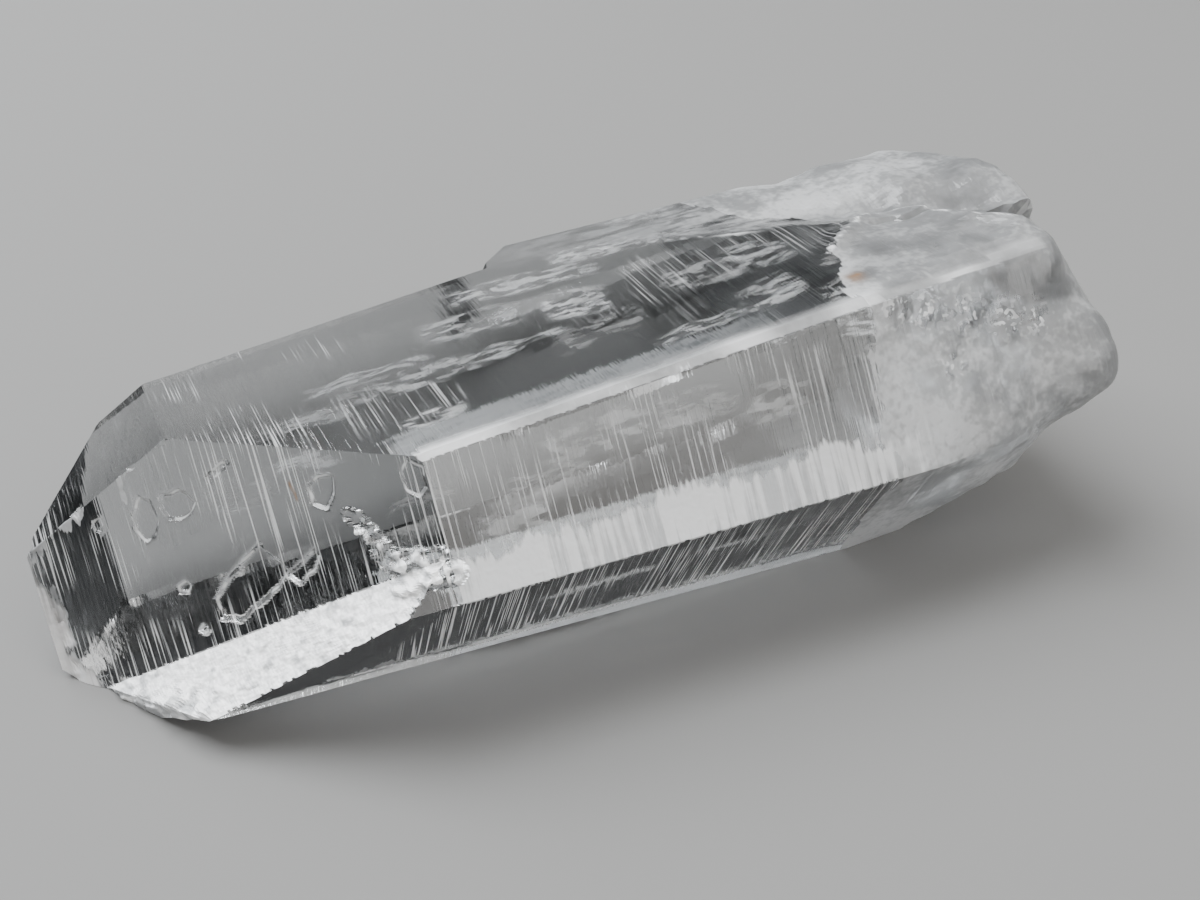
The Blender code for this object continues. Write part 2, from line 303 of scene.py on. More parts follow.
def joined_reach(start, heading):
    """The furthest of three blocks, as long as the ray has not left the first before it is in the next."""
    best, _, which = reach(start, heading, *MAIN)
    first = len(MAIN[1])
    for block, count in ((REAR, len(REAR[1])), (SHELF, len(SHELF[1]))):
        out, into, face = reach(start, heading, *block)
        wins = (out > best) & (into < best * JOIN_SLACK) & (out > into)
        best = np.where(wins, out, best)
        which = np.where(wins, face + first, which)
        first += count
    return best, which


def rounded_reach(start, heading):
    """Main and rear blocks with their edges rounded: the ray's nearness to every face is summed as a high
    power, which is the nearest face alone on a flat and a little more than it near an edge."""
    parts = []
    for normals, distances in (MAIN, REAR):
        total = np.zeros(heading.shape[:-1])
        for normal, distance in zip(normals, distances):
            gap = np.maximum(distance - start @ normal, ROOT_LEAST_GAP)
            total += np.maximum(heading @ normal / gap, 0.0) ** ROOT_SHARPNESS
        parts.append(total ** (-1 / ROOT_SHARPNESS))
    return (parts[0] ** ROOT_SHARPNESS + parts[1] ** ROOT_SHARPNESS) ** (1 / ROOT_SHARPNESS)


def ray_rows():
    """Start and tilt of every row of rays: square to the axis along the body, then fanned towards +X."""
    tip = np.linspace(TIP_START, TIP_END, TIP_ROWS, endpoint=False)
    body = np.linspace(TIP_END, BODY_END, BODY_ROWS, endpoint=False)
    share = np.linspace(0, 1, ROOT_ROWS, endpoint=False)
    root = BODY_END + (ROOT_SPINE_END - BODY_END) * share
    along = np.concatenate([tip, body, root])
    tilt = np.concatenate([np.zeros(TIP_ROWS + BODY_ROWS), share * math.pi / 2])
    starts = np.stack([along] + [np.interp(along, SPINE[:, 0], SPINE[:, axis]) for axis in (1, 2)], axis=1)
    return starts, tilt


def turned(angles, tilt):
    """Ray directions: the angle turns about the axis from straight up towards -Y, the tilt leans to +X."""
    angles, tilt = np.broadcast_arrays(angles, tilt)
    return np.stack(
        [np.sin(tilt), -np.cos(tilt) * np.sin(angles), np.cos(tilt) * np.cos(angles)], axis=-1
    )


def column_angles(starts):
    """Angles of every row's rays: each guide's direction from the spine, and between one guide and the
    next equal steps. The angle counts from straight up towards -Y."""
    tables = [np.array(table) for _, table in GUIDES]
    ends = []
    for table in tables:
        across = np.interp(starts[:, 0], table[:, 0], table[:, 1]) - starts[:, 1]
        up = np.interp(starts[:, 0], table[:, 0], table[:, 2]) - starts[:, 2]
        ends.append(np.arctan2(-across, up))
    ends = np.stack(ends, axis=1)
    gaps = (np.roll(ends, -1, axis=1) - ends + math.pi / 2) % math.tau - math.pi / 2
    gaps = np.maximum(gaps, LEAST_GAP)
    gaps *= math.tau / gaps.sum(axis=1, keepdims=True)
    lows = ends[:, :1] + np.cumsum(gaps, axis=1) - gaps
    spans = []
    for number, (count, _) in enumerate(GUIDES):
        spans.append(lows[:, number, None] + gaps[:, number, None] * np.arange(count)[None, :] / count)
    return np.concatenate(spans, axis=1)


starts, tilts = ray_rows()
angles = column_angles(starts)
on_edge = np.zeros(angles.shape, bool)


def meet_edges(starts, angles, on_edge, rows):
    """Move the nearest column of each row onto every edge between two faces. Two faces meet where the ray
    is square to (gap a times normal b minus gap b times normal a)."""
    steps = EDGE_STEPS
    fine = np.arange(steps) * math.tau / steps
    rays = np.broadcast_to(turned(fine, 0.0), (len(rows), steps, 3))
    _, here = joined_reach(np.broadcast_to(starts[rows, None, :], rays.shape), rays)
    there = np.roll(here, -1, axis=1)
    row, step = np.nonzero(here != there)
    here, there, row = here[row, step], there[row, step], rows[row]
    gap_here = ALL_DISTANCES[here] - (starts[row] * ALL_NORMALS[here]).sum(1)
    gap_there = ALL_DISTANCES[there] - (starts[row] * ALL_NORMALS[there]).sum(1)
    cross = gap_here[:, None] * ALL_NORMALS[there] - gap_there[:, None] * ALL_NORMALS[here]
    coarse = fine[step] + math.pi / steps
    exact = np.arctan2(cross[:, 2], cross[:, 1])
    exact += math.pi * np.round((coarse - exact) / math.pi)
    sound = np.abs(exact - coarse) < 2 * math.tau / steps
    row, exact = row[sound], exact[sound]
    away = (angles[row] - exact[:, None] + math.pi) % math.tau - math.pi
    column = np.abs(away).argmin(axis=1)
    angles[row, column] -= away[np.arange(len(row)), column]
    on_edge[row, column] = True


meet_edges(starts, angles, on_edge, np.nonzero(tilts == 0)[0])
heading = turned(angles, tilts[:, None])
origin = np.broadcast_to(starts[:, None, :], heading.shape)
length, face = joined_reach(origin, heading)

# The frosted root: edges rounded, a hollow between the two crystals' roots with a brow along its front, and
# low lumps.
ROOT_START, ROOT_BLEND, ROOT_REACH = 32.0, 9.0, 14.0
VALLEY_START, VALLEY_END = np.array([28.0, 9.0]), np.array([56.0, -3.5])
VALLEY_SLOPE, VALLEY_MOST, VALLEY_WIDTH = 0.10, 2.1, 2.3
# Heights over which the hollow, and what is on the top faces only, come in.
VALLEY_HEIGHTS, TOP_HEIGHTS = (1.0, 5.0), (5.0, 8.0)
BROW = ((31.7, -2.75), (35.6, -0.1), (39.4, 2.3), (41.8, 1.9), (42.8, 0.8), (43.7, -2.6), (46.2, -5.5))
BROW_HEIGHT, BROW_WIDTH, BROW_SPAN = 0.42, 0.8, (30.0, 35.0)
ROOT_LUMP, ROOT_LUMP_SIZE = 0.294, 8.5
ROOT_GRAIN, ROOT_GRAIN_SIZE = 0.06, 2.2
# Low rises and dents of the broken root: (along the axis, across, up, radius, height).
ROOT_RISES = (
    (48.5, -12.8, 3.5, 3.2, 0.75), (47.5, -10.5, 7.2, 2.0, -0.55), (45.5, -8.0, 10.5, 2.6, 0.5),
    (50.0, 4.5, 10.0, 2.6, 0.45), (51.5, 1.0, 9.5, 1.6, -0.5), (44.0, -14.0, -1.0, 3.0, -0.35),
    (40.0, -11.5, 7.0, 2.6, -0.25), (36.5, -12.3, 4.0, 2.4, 0.2),
)


def smooth(value, start, end):
    """0 below start, 1 above end, smooth between: three squares less two cubes of the share."""
    share = np.clip((value - start) / (end - start), 0, 1)
    return share * share * (3 - 2 * share)


def waves(place, size, seed, count=20):
    """Soft unevenness between about -1 and 1: the mean of many waves of nearly one length, each with its
    own random direction and phase."""
    chance = np.random.default_rng(seed)
    direction = chance.normal(size=(count, 3))
    direction *= (math.tau / size) / np.linalg.norm(direction, axis=1, keepdims=True)
    direction *= chance.uniform(0.6, 1.5, size=(count, 1))
    total = np.zeros(place.shape[:-1])
    for turn, phase in zip(direction, chance.uniform(0, math.tau, count)):
        total += np.sin(place @ turn + phase)
    return total / math.sqrt(count)


def off_line(first, second, line):
    """Distance in a plane to a bent line: the least of the distances to its straight parts."""
    least = np.full(first.shape, np.inf)
    for (a0, b0), (a1, b1) in zip(line, line[1:]):
        da, db = a1 - a0, b1 - b0
        share = np.clip(((first - a0) * da + (second - b0) * db) / (da * da + db * db), 0, 1)
        least = np.minimum(least, np.hypot(first - a0 - share * da, second - b0 - share * db))
    return least


def valley_depth(place):
    """Depth of the hollow: it grows along its run and falls off to both sides as a bell."""
    run = VALLEY_END - VALLEY_START
    run = run / np.linalg.norm(run)
    along = (place[..., :2] - VALLEY_START) @ run
    across = (place[..., :2] - VALLEY_START) @ np.array([-run[1], run[0]])
    depth = VALLEY_MOST * np.tanh(VALLEY_SLOPE * np.maximum(along, 0) / VALLEY_MOST)
    return depth * np.exp(-((across / VALLEY_WIDTH) ** 2)) * smooth(place[..., 2], *VALLEY_HEIGHTS)


share = smooth(starts[:, 0] + ROOT_REACH * np.sin(tilts), ROOT_START, ROOT_START + ROOT_BLEND)[:, None]
length = length * (1 - share) + rounded_reach(origin, heading) * share
place = origin + heading * length[..., None]
length += share * ROOT_LUMP * waves(place, ROOT_LUMP_SIZE, seed=3)
length += share * ROOT_GRAIN * waves(place, ROOT_GRAIN_SIZE, seed=4)
length -= valley_depth(place)
for x, y, z, radius, height in ROOT_RISES:
    off = np.linalg.norm(place - np.array([x, y, z]), axis=-1)
    length += height * np.exp(-((off / radius) ** 2)) * share
on_top = smooth(place[..., 2], *TOP_HEIGHTS)
brow = off_line(place[..., 0], place[..., 1], BROW)
length += BROW_HEIGHT * np.exp(-((brow / BROW_WIDTH) ** 2)) * on_top * smooth(place[..., 0], *BROW_SPAN)

# Growth ledges run round the crystal square to its axis. Each is a sudden small rise and a slow fall back,
# and most of them reach only part of the way round.
LEDGE_SEED, LEDGE_COUNT = 11, 130
LEDGE_SPAN = (-22.0, 40.0)
LEDGE_RISE = (0.003, 0.024)
LEDGE_FALL = (0.2, 1.6)
# Most ledges are low: their spread of heights is raised to this power. Then how many times a ledge comes and
# goes on its way round, and how softly.
LEDGE_POWER, LEDGE_TURNS, LEDGE_SOFTNESS = 3, (1, 6), (-0.3, 0.4)


def ledges(along, around):
    """Height of the ledges: for each, its rise times an exponential fall beyond its foot, times how much
    of it there is at that angle."""
    chance = np.random.default_rng(LEDGE_SEED)
    feet = np.sort(chance.uniform(*LEDGE_SPAN, LEDGE_COUNT))
    rises = LEDGE_RISE[0] + (LEDGE_RISE[1] - LEDGE_RISE[0]) * chance.uniform(0, 1, LEDGE_COUNT) ** LEDGE_POWER
    falls = chance.uniform(*LEDGE_FALL, LEDGE_COUNT)
    waves_round = chance.integers(*LEDGE_TURNS, LEDGE_COUNT)
    phases = chance.uniform(0, math.tau, LEDGE_COUNT)
    total = np.zeros(np.broadcast(along, around).shape)
    for foot, rise, fall, count, phase in zip(feet, rises, falls, waves_round, phases):
        past = along - foot
        part = smooth(np.sin(around * count + phase), *LEDGE_SOFTNESS)
        total = total + np.where(past > 0, rise * np.exp(-np.maximum(past, 0) / fall), 0.0) * part
    return total


length += ledges(starts[:, :1] + 0 * angles, angles) * (1 - share)

# Chips out of the tip's edges, each the hollow of a ball: (along the axis, across, up, radius).
CHIPS = np.array([
    (-15.9, 3.2, 5.7, 0.75), (-19.6, 4.9, 2.4, 0.7), (-23.2, 6.8, -0.6, 0.8), (-22.6, 4.1, -4.4, 1.0),
    (-23.2, 3.2, -6.9, 0.6),
])
CHIP_ROUGHNESS, CHIP_GRAIN, CHIP_NEAREST = 0.16, 0.7, 0.05


def ball_reach(start, heading, centre, radius):
    """Where each ray enters and leaves a ball: along-ray distance to the centre, less and plus the half
    chord. Rays that miss it get no number."""
    to_centre = centre - start
    middle = (to_centre * heading).sum(-1)
    half = middle**2 - (to_centre**2).sum(-1) + radius**2 * (heading**2).sum(-1)
    with np.errstate(invalid="ignore"):
        half = np.sqrt(half)
    return middle - half, middle + half


chipped = np.zeros(length.shape)
for x, y, z, radius in CHIPS:
    rough = radius * (1 + CHIP_ROUGHNESS * waves(origin + heading * length[..., None], CHIP_GRAIN, seed=6))
    enters, leaves = ball_reach(origin, heading, np.array([x, y, z]), rough)
    cut = (enters > CHIP_NEAREST) & (enters < length) & (leaves > length)
    length = np.where(cut, enters, length)
    chipped = np.where(cut, 1.0, chipped)
points = origin + heading * length[..., None]

# The slanting front face of the tip: its own axes, with "across" down the edge that it shares with the upper
# front face and "towards" running to the tip, both in millimetres from that edge's upper corner.
FACE_NAMES = list(MAIN_FACES)
FRONT = FACE_NAMES.index("tip_front")
FRONT_OUT = MAIN[0][FRONT]
FRONT_ACROSS = np.cross(MAIN[0][FACE_NAMES.index("front_upper")], FRONT_OUT)
FRONT_ACROSS *= -np.sign(FRONT_ACROSS[2]) / np.linalg.norm(FRONT_ACROSS)
FRONT_TOWARDS = np.cross(FRONT_ACROSS, FRONT_OUT)
FRONT_TOWARDS *= -np.sign(FRONT_TOWARDS[0])
CORNER_OF = [FRONT, FACE_NAMES.index("front_upper"), FACE_NAMES.index("top")]
FRONT_CORNER = np.linalg.solve(MAIN[0][CORNER_OF], MAIN[1][CORNER_OF])
# Outlines of its pits, as (across, towards), each with the pit's depth.
PITS = [
    (0.34, [(2.9, 12.0), (3.8, 13.7), (5.0, 15.4), (5.8, 16.2), (7.0, 16.1), (7.5, 15.1), (7.0, 14.1),
            (6.3, 12.5), (5.5, 11.2), (5.0, 10.7), (3.2, 12.0)]),
    (0.22, [(4.6, 9.5), (3.9, 8.4), (4.5, 8.3), (5.3, 8.9), (5.9, 10.1), (5.2, 10.8)]),
    (0.24, [(-1.6, 19.5), (-1.3, 18.7), (0.2, 18.6), (1.1, 19.1), (1.3, 19.8), (0.4, 20.4), (-0.6, 20.2)]),
    (0.20, [(-1.4, 17.9), (-1.5, 16.4), (-0.5, 15.6), (0.1, 16.1), (0.4, 16.9), (0.2, 17.9), (-0.6, 18.2)]),
    (0.22, [(-0.4, 7.0), (-0.1, 6.0), (0.9, 6.2), (1.8, 6.9), (1.3, 7.8), (0.2, 7.7)]),
    (0.10, [(0.0, 0.9), (0.6, 0.1), (1.8, 0.2), (2.4, 0.8), (1.7, 1.6), (0.6, 1.6)]),
    (0.20, [(4.2, 18.0), (4.6, 17.6), (5.0, 18.0), (4.9, 18.5), (4.5, 18.6)]),
    (0.15, [(7.2, 17.5), (7.6, 17.3), (7.9, 17.7), (7.5, 18.0)]),
    (0.12, [(-0.9, 23.3), (-0.9, 22.7), (-0.4, 22.6), (0.1, 22.9), (-0.2, 23.4)]),
    (0.10, [(-1.9, 14.5), (-1.5, 14.3), (-2.2, 12.5), (-2.6, 12.5)]),
]
PIT_WALL, PIT_LIMIT = 0.42, 0.6
PIT_WOBBLE, PIT_WOBBLE_SIZE = 0.05, 1.1
# The bruised strip along the face's far end, and the crust beside the shelf: (across, towards, radius).
STRIP = [
    (1.6, 29.3), (2.1, 28.6), (4.5, 27.3), (6.5, 27.2), (7.0, 28.0), (7.9, 27.6), (9.3, 26.1), (12.0, 25.5),
    (12.0, 33.0), (1.0, 33.0),
]
STRIP_DROP, STRIP_REACH, STRIP_FADE = 0.45, 1.2, (-10.0, -7.5)
STRIP_WOBBLE, STRIP_WOBBLE_SIZE = 0.12, 1.3
STRIP_GRAIN, STRIP_GRAIN_SIZE = 0.3, 1.0
# How near the face a place counts as on it, where relief begins, and the share of the room that it may take.
FRONT_NEAR, FRONT_START, FRONT_SLACK, ROOM_SHARE = 0.08, -0.5, 0.02, 0.5
CRUST = [
    (2.4, 5.6, 0.5), (2.8, 5.2, 0.6), (3.3, 4.9, 0.65), (3.8, 4.6, 0.7), (4.3, 4.3, 0.7), (5.0, 4.1, 0.8),
    (5.7, 3.7, 0.9), (6.1, 2.9, 1.1), (6.3, 2.0, 1.2), (6.9, 1.0, 1.1), (7.1, 3.1, 1.0), (7.6, 2.0, 0.9),
    (6.0, 0.6, 0.7), (7.2, 0.0, 0.8),
]
CRUST_FLATNESS, CRUST_GRAIN, CRUST_GRAIN_SIZE, CRUST_REACH = 0.42, 0.18, 0.85, 0.2


def depth_inside(across, towards, outline):
    """How far inside a closed outline each place is: the distance to the nearest side, taken negative
    where a line towards +across crosses the outline an even number of times."""
    closed = list(outline) + [outline[0]]
    inside = np.zeros(across.shape, bool)
    for (a0, t0), (a1, t1) in zip(closed, closed[1:]):
        if t0 != t1:
            crossed = (t0 > towards) != (t1 > towards)
            inside ^= crossed & (across < a0 + (a1 - a0) * (towards - t0) / (t1 - t0))
    return off_line(across, towards, closed) * np.where(inside, 1, -1)


from_corner = points - FRONT_CORNER
across, towards = from_corner @ FRONT_ACROSS, from_corner @ FRONT_TOWARDS
off_front = np.abs(from_corner @ FRONT_OUT)
on_front = (face == FRONT) | (off_front < FRONT_NEAR)
relief = np.zeros(length.shape)
pit = np.full(length.shape, -PIT_LIMIT)
for depth, outline in PITS:
    inside = depth_inside(across, towards, outline) + PIT_WOBBLE * waves(points, PIT_WOBBLE_SIZE, seed=7)
    relief -= depth * smooth(inside, -PIT_WALL / 2, PIT_WALL / 2)
    pit = np.maximum(pit, inside)
pit = np.clip(np.where(on_front, pit, -PIT_LIMIT), -PIT_LIMIT, PIT_LIMIT)
strip = depth_inside(across, towards, STRIP) + STRIP_WOBBLE * waves(points, STRIP_WOBBLE_SIZE, seed=12)
bruise = 1 + STRIP_GRAIN * waves(points, STRIP_GRAIN_SIZE, seed=15)
relief -= STRIP_DROP * np.clip(strip, 0, STRIP_REACH) * bruise * smooth(-across, *STRIP_FADE)
# A hollow that runs out over an edge takes the next face's border with it, and none goes below the spine.
room = np.maximum(MAIN[1][FRONT] - starts @ FRONT_OUT, 0.0)[:, None]
relief = np.minimum(np.maximum(relief, -ROOM_SHARE * room) + off_front, 0.0)
relief = np.where((towards > FRONT_START) & (from_corner @ FRONT_OUT < FRONT_SLACK), relief, 0.0)
crust = np.zeros(length.shape)
for at, to, radius in CRUST:
    square_off = (across - at) ** 2 + (towards - to) ** 2 + np.maximum(off_front - CRUST_REACH, 0) ** 2
    crust = np.maximum(crust, CRUST_FLATNESS * np.sqrt(np.maximum(radius**2 - square_off, 0)))
crust += (crust > 0) * CRUST_GRAIN * waves(points, CRUST_GRAIN_SIZE, seed=9)
points = points + (relief + crust)[..., None] * FRONT_OUT

# The shelf where a neighbour broke away is sugary: fine unevenness all over, coarse grains at its low end,
# each (along the axis, across, up, radius), and a few small holes among them.
CONTACT = len(MAIN_FACES) + len(REAR_FACES) + list(SHELF_FACES).index("contact")
CONTACT_OUT = ALL_NORMALS[CONTACT]
SHELF_GRAIN, SHELF_GRAIN_SIZE = 0.05, 1.0
GRAINS = np.array([
    (-19.8, -1.4, -8.4, 0.9), (-18.9, -3.0, -8.3, 1.0), (-18.0, -4.4, -8.0, 1.2), (-17.2, -5.6, -7.6, 1.1),
    (-16.2, -6.9, -7.0, 1.0), (-15.3, -7.7, -6.5, 0.8), (-16.4, -5.0, -6.9, 0.8), (-14.8, -7.0, -5.8, 0.7),
])
HOLES = np.array([(-16.6, -5.9, -7.0, 0.35), (-16.0, -6.3, -6.6, 0.3), (-17.3, -4.6, -7.4, 0.25)])
GRAIN_HEIGHT, HOLE_DEPTH, BELL_WIDTH = 0.45, 0.5, 0.75
GRAIN_WOBBLE, GRAIN_WOBBLE_SIZE = 0.5, 0.9


def bells(place, table):
    """The sum of bell-shaped bumps, each as high as its radius."""
    total = np.zeros(place.shape[:-1])
    for x, y, z, radius in table:
        off = np.linalg.norm(place - np.array([x, y, z]), axis=-1)
        total += radius * np.exp(-((off / (BELL_WIDTH * radius)) ** 2))
    return total


contact = np.where(face == CONTACT, 1.0, 0.0)
coarse = bells(points, GRAINS)
rise = contact * SHELF_GRAIN * waves(points, SHELF_GRAIN_SIZE, seed=21)
grainy = 1 + GRAIN_WOBBLE * waves(points, GRAIN_WOBBLE_SIZE, seed=22)
rise += GRAIN_HEIGHT * coarse * grainy - HOLE_DEPTH * bells(points, HOLES)
points = points + rise[..., None] * CONTACT_OUT

# Where the surface is not clear: millimetres inside (positive) or outside (negative) the frosted parts.
FOOT, RIDGE = FACE_NAMES.index("foot_edge"), FACE_NAMES.index("ridge")
TOP, UPPER, LOWER = (FACE_NAMES.index(name) for name in ("top", "front_upper", "front_lower"))
UNDER = (FACE_NAMES.index("under"), FACE_NAMES.index("keel"))
UNDER_START, UNDER_WIDTH = 2.0, 6.3
FROST_LIMIT = 3.0
# Widths of the frosted strips along edges: below the tip's top edge, round its hidden rim, beside the foot.
TOP_BEVEL, TIP_RIM, FOOT_RIM = 0.25, 1.1, 0.35
# Heights at which grains and crust turn white, how fast the crust does, and how deep in white they count.
GRAIN_LEAST, CRUST_LEAST, CRUST_GAIN, CRUST_LOSS, WELL_INSIDE = 0.25, 0.05, 1.6, 0.62, 0.6
# On the top the frost begins further along in the middle than at the sides: (across, along the axis).
TOP_FROST = ((-11.0, 30.6), (-9.0, 30.8), (-6.0, 31.6), (-2.7, 32.6), (-0.1, 35.0), (2.3, 37.3), (5.0, 35.0),
             (8.0, 31.5), (11.0, 30.0), (15.0, 28.5))
FRONT_FROST = 30.3
STREAK = ((16.4, 9.2), (22.6, 7.8), (26.9, 5.6), (31.0, 3.6))


def distance_in(face_name, name):
    """How far a place on one face is from another face, measured in the first face."""
    own = MAIN[0][FACE_NAMES.index(face_name)]
    normal, distance = MAIN[0][FACE_NAMES.index(name)], MAIN[1][FACE_NAMES.index(name)]
    return (distance - points @ normal) / np.linalg.norm(normal - own * (normal @ own))


def uneven(height, size, seed):
    """Soft unevenness of a border, in millimetres."""
    return height * waves(points, size, seed)


def only(where, value):
    """A value where a test holds, and far outside the frost elsewhere."""
    return np.where(where, value, -FROST_LIMIT)


top_bevel = TOP_BEVEL + uneven(0.5, 3.0, seed=13) - distance_in("tip_front", "tip_top")
TIP_UNDER = (FACE_NAMES.index("tip_under"), FACE_NAMES.index("tip_back_lower"))
tip_rim = TIP_RIM - off_front + uneven(0.2, 1.6, seed=17)
frost_from = np.interp(points[..., 1], [y for y, _ in TOP_FROST], [x for _, x in TOP_FROST])
frost_from = FRONT_FROST + (frost_from - FRONT_FROST) * on_top
root_frost = points[..., 0] - frost_from + uneven(0.5, 5.0, seed=14)
underside = np.minimum(points[..., 0] - UNDER_START, UNDER_WIDTH - points[..., 1])
white = np.max([
    only(contact > 0, 1.0), only(coarse > GRAIN_LEAST, WELL_INSIDE),
    only(crust > CRUST_LEAST, crust * CRUST_GAIN - CRUST_LOSS),
    only(np.isin(face, UNDER), underside),
], axis=0)
frost = np.max([
    root_frost, white, only(on_front, strip), only(on_front, top_bevel), only(chipped > 0, WELL_INSIDE),
    only(face == FOOT, 0.5), only(face == LOWER, FOOT_RIM - distance_in("front_lower", "foot_edge")),
    only(np.isin(face, TIP_UNDER), tip_rim),
], axis=0)
frost, white = np.clip(frost, -FROST_LIMIT, FROST_LIMIT), np.clip(white, -FROST_LIMIT, FROST_LIMIT)
# Painted reflection: a satin white band along the lower side of the upper front face stands in for light
# reflected inside the crystal and fades out towards the root; a painted highlight runs along the brow. Over
# the bruised strip the band is the strip's own white.
SHEEN_BAND_WIDTH, SHEEN_BAND_FADE, SHEEN_BAND_END, SHEEN_BAND_LAST = 2.9, 0.6, 33, 34
BROW_SHEEN_START, BROW_SHEEN_WIDTH, BROW_SHEEN_FADE = 32.5, 0.55, 2.5
# Painted highlight: the narrow ridge face, and a bevel beside it on the top that swells round one place, are
# painted white where the edge catches the light. A thin streak painted as a highlight crosses the top, with
# haze behind it.
GLINT_BESIDE, GLINT_SWELL, GLINT_MIDDLE, GLINT_REACH, GLINT_EDGE = 0.1, 0.5, 15.0, 9.0, 0.12
GLINT_STREAK_WIDTH, HAZE_ACROSS, HAZE_ALONG = 0.13, (-0.3, 1.2), (10.0, 26.0)
sheen_and_bruise_band = SHEEN_BAND_WIDTH - distance_in("front_upper", "front_lower") + uneven(0.5, 7.0, seed=41)
fading = (SHEEN_BAND_END - points[..., 0]) * SHEEN_BAND_FADE
sheen_and_bruise_band = np.max([
    only((face == UPPER) & (points[..., 0] < SHEEN_BAND_LAST), np.minimum(sheen_and_bruise_band, fading)),
    only(on_front, strip * 2),
    only((on_top > 0.3) & (points[..., 0] > BROW_SHEEN_START), BROW_SHEEN_WIDTH - brow * BROW_SHEEN_FADE),
], axis=0)
sheen_and_bruise_band = np.clip(sheen_and_bruise_band, -FROST_LIMIT, FROST_LIMIT)
swell = GLINT_SWELL * np.exp(-(((points[..., 0] - GLINT_MIDDLE) / GLINT_REACH) ** 2))
beside = GLINT_BESIDE + swell - distance_in("top", "ridge")
# The ridge numbers are painted highlight: the ridge face, a strip of the top beside it and the streak are
# painted white.
ridge = np.maximum((face == RIDGE) * 1.0, (face == TOP) * smooth(beside, 0.0, GLINT_EDGE))
off_streak = off_line(points[..., 0], points[..., 1], STREAK)
ridge = np.maximum(ridge, np.exp(-((off_streak / GLINT_STREAK_WIDTH) ** 2)) * on_top)
streak_at = np.interp(points[..., 0], [x for x, _ in STREAK], [y for _, y in STREAK])
behind = (points[..., 1] - streak_at) * on_top
haze = smooth(behind, *HAZE_ACROSS) * smooth(points[..., 0], *HAZE_ALONG)
# Torn, glassy places in the frost over the root's front, with painted glints in them, dim smoky ones on its
# top, and rusty stains.
TORN = np.array([
    (33.0, -9.2, 9.0, 1.5), (35.5, -10.0, 8.6, 1.9), (38.5, -10.6, 7.8, 2.0), (41.5, -11.2, 7.0, 1.8),
    (36.5, -12.0, 5.2, 1.6), (44.0, -11.5, 6.5, 1.5),
])
DIM = np.array([
    (36.0, -3.5, 10.0, 2.6), (39.5, -4.5, 10.4, 2.8), (43.0, -3.5, 10.6, 2.2), (33.5, -6.0, 9.8, 1.6),
    (34.5, -12.0, 4.5, 1.6), (38.0, -12.4, 3.2, 1.8),
])
STAINS = np.array([(32.2, -6.0, 10.1, 0.72), (32.8, -5.8, 10.1, 0.55)])
STREAK_ON_FRONT = ((-0.5, 8.9), (0.8, 8.7))
FRONT_STREAK_WIDTH, FRONT_STREAK_EDGE, STRIP_STAIN, STRIP_STAIN_EDGE = 0.10, 0.06, 0.14, 0.3
# How dim the shelf's grains and the root's top are, how dark the shelf's holes are painted as shade, and
# where on the top that comes in.
DIM_GRAINS, HOLE_SHADE, DIM_TOP, DIM_ALONG, DIM_ACROSS = 0.45, 2.0, 0.6, (32.0, 36.0), (-7.0, -4.0)
# Extra painted line highlights on the top towards the tip, and the span over which they fade.
TOP_LINE_GLINT, TOP_LINE_GLINT_SPAN = 0.11, (-2.0, 6.0)
# How strongly each face shows painted highlights along its growth lines, above the least.
LINE_GLINT_STRENGTH = {"tip_front": 0.17, "front_lower": 0.22, "tip_top": 0.12, "front_upper": 0.09, "top": -0.01}


def share_of(table):
    """The bells of a table, each brought to a height of one."""
    return np.clip(sum(bells(points, row[None, :]) / row[3] for row in table), 0, 1)


torn_and_glints, dim_and_hole_shade, stain = share_of(TORN), share_of(DIM), share_of(STAINS)
dim_and_hole_shade = np.maximum(dim_and_hole_shade, DIM_GRAINS * np.clip(coarse, 0, 1))
# Painted shade: the shelf's holes are darkened.
dim_and_hole_shade = np.maximum(dim_and_hole_shade, HOLE_SHADE * share_of(HOLES))
dim_top = DIM_TOP * on_top * smooth(points[..., 0], *DIM_ALONG) * smooth(-points[..., 1], *DIM_ACROSS)
dim_and_hole_shade = np.maximum(dim_and_hole_shade, dim_top)
on_streak = FRONT_STREAK_WIDTH - off_line(across, towards, STREAK_ON_FRONT)
stain = np.maximum(stain, smooth(on_streak, -FRONT_STREAK_EDGE, FRONT_STREAK_EDGE) * on_front)
stain = np.maximum(stain, STRIP_STAIN * smooth(strip, 0.0, STRIP_STAIN_EDGE) * on_front)
# Strength of the painted line highlights, face by face.
line_glint_strength = np.zeros(length.shape)
for name, strength in LINE_GLINT_STRENGTH.items():
    line_glint_strength = np.where(face == FACE_NAMES.index(name), strength, line_glint_strength)
line_glint_strength += (face == TOP) * TOP_LINE_GLINT * smooth(-points[..., 0], *TOP_LINE_GLINT_SPAN)


def crystal_triangles(rows, columns):
    """Two triangles for each cell of the grid, split along an edge of the crystal where one crosses the
    cell, and a fan at each end."""
    row = np.arange(rows - 1)[:, None]
    col = np.arange(columns)[None, :]
    after = (col + 1) % columns
    a, b = row * columns + col, row * columns + after
    c, d = (row + 1) * columns + after, (row + 1) * columns + col
    marked = on_edge.ravel()
    along_ac = (marked[a] & marked[c]) | ~(marked[b] & marked[d])
    first = np.where(along_ac[..., None], np.stack([a, b, c], -1), np.stack([a, b, d], -1))
    second = np.where(along_ac[..., None], np.stack([a, c, d], -1), np.stack([b, c, d], -1))
    tip, root = rows * columns, rows * columns + 1
    ring = np.arange(columns)
    turn = (ring + 1) % columns
    last = (rows - 1) * columns
    fans = [
        np.stack([np.full(columns, tip), turn, ring], -1),
        np.stack([np.full(columns, root), ring + last, turn + last], -1),
    ]
    return np.concatenate([first.reshape(-1, 3), second.reshape(-1, 3)] + fans)


